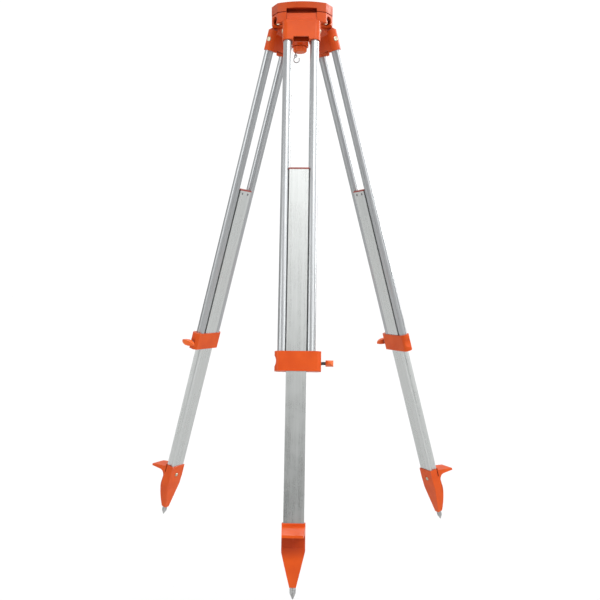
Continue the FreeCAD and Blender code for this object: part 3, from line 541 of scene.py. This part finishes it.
def tube_screws(leg):
    """Pan-head screws with a six-sided recess, one into each tube."""
    node = f"{leg}_tube_screws"
    low, high = extent(node)
    centre = (low + high) / 2
    reach = (high.y - low.y) / 2 / MM
    recess = hexagon(0.38 * reach)
    rows = [
        (-12.6, 1.4), (-11.6, 2.3), (-2.6, 2.3), (-2.6, reach - 0.15), (-2.4, reach),
        (-1.1, reach), (-0.5, reach - 0.5), (-0.12, reach - 1.5), (0, reach - 2.6),
        (0, lambda a: recess(a) + 0.15), (-0.15, recess), (-1.6, recess),
    ]
    bm = bmesh.new()
    for side in (-1, 1):
        out = Matrix.Rotation(side * math.pi / 2, 4, "Y")
        spot = Matrix.Translation((side * high.x, centre.y, centre.z))
        lathe(bm, rows, 36, spot @ out)
    placed(bm, f"{node}_body", place_of(node), ZINC, [node])


def cap_rivets(leg):
    """Domed rivet heads on the bar's inner face."""
    node = f"{leg}_cap_rivets"
    low, high = extent(node)
    reach = (high.z - low.z) / 2 / MM
    span = high.x - reach * MM
    rows = [
        (-9.8, 1.5), (-0.9, 1.55), (-0.9, reach - 0.1), (-0.75, reach),
        (-0.5, reach * 0.93), (-0.2, reach * 0.7), (-0.04, reach * 0.4), (0, reach * 0.12),
    ]
    bm = bmesh.new()
    for side in (-1, 1):
        back = Matrix.Rotation(-math.pi / 2, 4, "X")
        spot = Matrix.Translation((side * span, high.y, (low.z + high.z) / 2))
        lathe(bm, rows, 24, spot @ back)
    placed(bm, f"{node}_body", place_of(node), DARK, [node])


def shoe_bolt(leg):
    """Button-head screw in the round seat of the shoe's inner face."""
    node = f"{leg}_shoe_bolt"
    low, high = extent(node)
    reach = (high.x - low.x) / 2 / MM
    recess = hexagon(0.42 * reach)
    rows = [
        (-11, 2.4), (-10.2, 2.95), (-3, 2.95), (-3, reach - 0.15), (-2.8, reach),
        (-1.9, reach - 0.1), (-1.0, reach - 0.7), (-0.4, reach - 1.5), (0, reach - 2.7),
        (0, lambda a: recess(a) + 0.15), (-0.15, recess), (-1.7, recess),
    ]
    bm = bmesh.new()
    back = Matrix.Rotation(-math.pi / 2, 4, "X")
    spot = Matrix.Translation(((low.x + high.x) / 2, high.y, (low.z + high.z) / 2))
    lathe(bm, rows, 36, spot @ back)
    placed(bm, f"{node}_body", place_of(node), ZINC, [node])


def fixing_knob():
    """Moulded knob: flutes that run out into a rounded lower edge."""
    node = "fixing_knob"
    low, high = extent(node)
    reach = max(high.x, -low.x) / MM
    bottom, top = low.z / MM, high.z / MM

    def section(most, share):
        def radius(angle):
            wave = math.cos(angle * KNOB_FLUTES)
            return most - FLUTE_DEPTH_MM * share * max(0, wave) ** 1.5

        return radius

    height = top - bottom
    profile = [
        (0, 13.4, 0),
        (0.25, 14.2, 0.1),
        (1.0, 15.5, 0.4),
        (2.1, 16.5, 0.75),
        (3.4, 17.2, 0.95),
        (4.9, reach, 1),
        (height - 0.8, reach, 1),
        (height - 0.25, reach - 0.25, 1),
        (height, reach - 0.8, 0.8),
    ]
    rows = [(bottom, 4.2), (bottom, 11.5), (bottom, 12.9)]
    rows += [(bottom + rise, section(most, share)) for rise, most, share in profile]
    bm = bmesh.new()
    lathe(bm, rows, 144, Matrix())
    placed(bm, f"{node}_body", place_of(node), ORANGE_PLASTIC, [node])


def dressed(node, bevel_mm, segments=2, above=28, material=None):
    """The node's own shape with rounded edges, in its slot's material or the one given."""
    place = place_of(node)
    bm = clean_mesh(node, place)
    round_edges(bm, bevel_mm * MM, segments, above)
    return placed(bm, f"{node}_body", place, material or LOOK_OF_SLOT[slot_of[node]], [node])


dressed("head_platform", 0.9, material=ORANGE_TOP)
dressed("hinge_hub", 0.7)
for name in (
    "hub_screws", "pivot_bolts", "pivot_nuts", "arm_pivot", "centring_arm", "arm_carriage"
):
    dressed(name, 0.25)
for name in ("screw_clip", "screw_collar"):
    dressed(name, 0.3)
fixing_knob()


def screw_limits(height, start, end):
    """The fixing screw: a cone at its top end and the groove of the spring clip."""
    groove_top = end - 43.8
    if groove_top - 1.3 <= height <= groove_top:
        return SCREW_RADIUS_MM - 1, False
    return min(SCREW_RADIUS_MM, 6.2 + (end - height)), height > start + 9


def stud_limits(height, start, end):
    """A clamp stud: a short cone at its outer end."""
    return min(STUD_RADIUS_MM, 3.0 + (end - height)), True


threaded("fixing_screw", SCREW_RADIUS_MM, 2.309, 8, 36, screw_limits, "z", PLATE)
for name in ("hook_eye", "plumb_hook"):
    dressed(name, 0.05)
for leg in LEGS:
    dressed(f"{leg}_hinge_block", 1.0)
    dressed(f"{leg}_clamp_bracket", 1.0)
    dressed(f"{leg}_clamp_wing", 0.5, material=ORANGE_PLASTIC)
    shoe_high = extent(f"{leg}_foot_shoe")[1]
    # the shoe's top and outer face, for the painted shade below its foot step
    step = shoe_high.z, shoe_high.y - SHOE_DEPTH
    coat = paint(f"orange_powder_coat_{leg}_shoe", *COAT, PEEL, COAT_GLOSS, step=step)
    dressed(f"{leg}_foot_shoe", 1.0, material=coat)
    for part in ("left_tube", "right_tube", "extension_bar"):
        dressed(f"{leg}_{part}", 0.3)
    dressed(f"{leg}_extension_cap", 0.3, material=CAP)
    for part in ("pivot_bushes", "pressure_pad"):
        dressed(f"{leg}_{part}", 0.2)
    shoe_bolt(leg)
    tube_screws(leg)
    cap_rivets(leg)
    threaded(f"{leg}_clamp_stud", STUD_RADIUS_MM, 1.25, 8, 28, stud_limits, "x", DARK)
    dressed(f"{leg}_foot_point", 0.2)


# ---------------------------------------------------------------- floor, light, camera


FLOOR_DROP = 0.46
FLOOR_RADIUS = 60
CAMERA_ANGLES = -1.84, -3.425, 0.45  # yaw, pitch and roll in degrees
CAMERA_DISTANCE = 2.001
CAMERA_ASIDE = 0.0643
CAMERA_HEIGHT = 0.6877


def floor():
    """Far enough down to stay clear of a leg that hangs straight and is fully drawn out."""
    mesh = bpy.data.meshes.new("floor")
    bm = bmesh.new()
    bmesh.ops.create_circle(bm, cap_ends=True, radius=FLOOR_RADIUS, segments=96)
    bm.to_mesh(mesh)
    bm.free()
    look = Look("pale_floor")
    tone = look.mix(look.noise(1.5, 3), (0.86, 0.86, 0.86), (0.88, 0.88, 0.88))
    tone = look.mix(look.add("LightPath").outputs["Is Camera Ray"], (0.55, 0.55, 0.55), tone)
    mesh.materials.append(look.set(Base_Color=tone, Roughness=0.9))
    piece = bpy.data.objects.new("floor", mesh)
    piece.location.z = cad_low.z - FLOOR_DROP
    bpy.context.scene.collection.objects.link(piece)


def sun(name, azimuth, elevation, strength, angle):
    """A soft round light far away. Azimuth 0 is on the camera's side, 90 on the right."""
    light = bpy.data.lights.new(name, "SUN")
    light.energy = strength
    light.angle = math.radians(angle)
    lamp = bpy.data.objects.new(name, light)
    a, e = math.radians(azimuth), math.radians(elevation)
    towards = Vector((math.sin(a) * math.cos(e), -math.cos(a) * math.cos(e), math.sin(e)))
    lamp.rotation_euler = towards.to_track_quat("Z", "Y").to_euler()
    bpy.context.scene.collection.objects.link(lamp)


def studio():
    """A room that is dim low down and on the left, pale on the right and bright overhead. Only
    the camera sees it white."""
    world = bpy.data.worlds.new("studio")
    bpy.context.scene.world = world
    world.use_nodes = True
    tree = world.node_tree
    tree.nodes.clear()
    new = tree.nodes.new
    link = tree.links.new
    split = new("ShaderNodeSeparateXYZ")
    link(new("ShaderNodeTexCoord").outputs["Generated"], split.inputs[0])

    def maths(operation, a, b=0.0):
        node = new("ShaderNodeMath")
        node.operation = operation
        for socket, value in zip(node.inputs, (a, b)):
            if isinstance(value, bpy.types.NodeSocket):
                link(value, socket)
            else:
                socket.default_value = value
        return node.outputs[0]

    def curve(value, stops):
        """Brightness by a value between -1 and 1."""
        ramp = new("ShaderNodeValToRGB")
        ramp.color_ramp.interpolation = "EASE"
        while len(ramp.color_ramp.elements) < len(stops):
            ramp.color_ramp.elements.new(0.5)
        for element, (position, level) in zip(ramp.color_ramp.elements, stops):
            element.position = position * 0.5 + 0.5
            element.color = (level, level, level, 1)
        link(maths("ADD", maths("MULTIPLY", value, 0.5), 0.5), ramp.inputs[0])
        return ramp.outputs[0]

    def blend(factor, a, b):
        node = new("ShaderNodeMix")
        node.data_type = "RGBA"
        for socket, value in zip(MIX_SOCKETS, (factor, a, b)):
            link(value, node.inputs[socket])
        return node.outputs[MIX_RESULT]

    x, y, z = split.outputs
    level = maths("SQRT", maths("ADD", maths("MULTIPLY", x, x), maths("MULTIPLY", y, y)))
    side = maths("DIVIDE", x, maths("MAXIMUM", level, 0.02))
    ahead = curve(side, ((-1, 0.6), (-0.4, 0.62), (0.2, 0.86), (0.8, 1.06), (1, 0.98)))
    behind = curve(side, ((-1, 0.5), (-0.75, 0.7), (0, 0.9), (0.8, 0.98), (1, 0.98)))
    back = new("ShaderNodeMapRange")
    back.inputs["From Min"].default_value = -0.1
    back.inputs["From Max"].default_value = 0.5
    link(y, back.inputs["Value"])
    around = blend(back.outputs[0], ahead, behind)
    height = curve(
        z, ((-1, 0.5), (0, 0.14), (0.14, 0.24), (0.26, 0.52), (0.47, 1.14), (0.64, 1.3), (1, 1.3))
    )
    left_height = curve(
        z, ((-1, 0.5), (0, 0.3), (0.14, 0.7), (0.26, 1.15), (0.5, 1.1), (0.64, 0.55), (1, 1.1))
    )
    left = new("ShaderNodeMapRange")
    left.inputs["From Min"].default_value = -0.35
    left.inputs["From Max"].default_value = -0.75
    link(side, left.inputs["Value"])
    strength = blend(left.outputs[0], height, left_height)
    room = new("ShaderNodeBackground")
    link(around, room.inputs[0])
    link(strength, room.inputs[1])
    white = new("ShaderNodeBackground")
    white.inputs[0].default_value = (1, 1, 1, 1)
    white.inputs[1].default_value = 1.05
    seen = new("ShaderNodeMixShader")
    link(new("ShaderNodeLightPath").outputs["Is Camera Ray"], seen.inputs[0])
    link(room.outputs[0], seen.inputs[1])
    link(white.outputs[0], seen.inputs[2])
    link(seen.outputs[0], new("ShaderNodeOutputWorld").inputs[0])
    sun("key", 24, 48, 0.75, 36)
    sun("rim", 119, 18, 0.95, 24)
    sun("fill_left", -52, 7, 0.5, 36)
    sun("fill_right", 50, 7, 0.5, 36)


def camera():
    yaw, pitch, roll = (math.radians(a) for a in CAMERA_ANGLES)
    level = math.cos(pitch)
    forward = Vector((math.sin(yaw) * level, math.cos(yaw) * level, math.sin(pitch)))
    right = Vector((math.cos(yaw), -math.sin(yaw), 0))
    up = right.cross(forward)
    across = right * math.cos(roll) + up * math.sin(roll)
    upward = up * math.cos(roll) - right * math.sin(roll)
    data = bpy.data.cameras.new("camera")
    data.sensor_width = 36
    data.lens = 46.13
    data.shift_y = 0.0487
    eye = bpy.data.objects.new("camera", data)
    turn = Matrix((across, upward, -forward)).transposed().to_4x4()
    place = CAMERA_ASIDE, HEAD.translation.y - CAMERA_DISTANCE, CAMERA_HEIGHT
    eye.matrix_world = Matrix.Translation(place) @ turn
    bpy.context.scene.collection.objects.link(eye)
    bpy.context.scene.camera = eye


floor()
studio()
camera()
bpy.context.scene.view_settings.view_transform = "Standard"
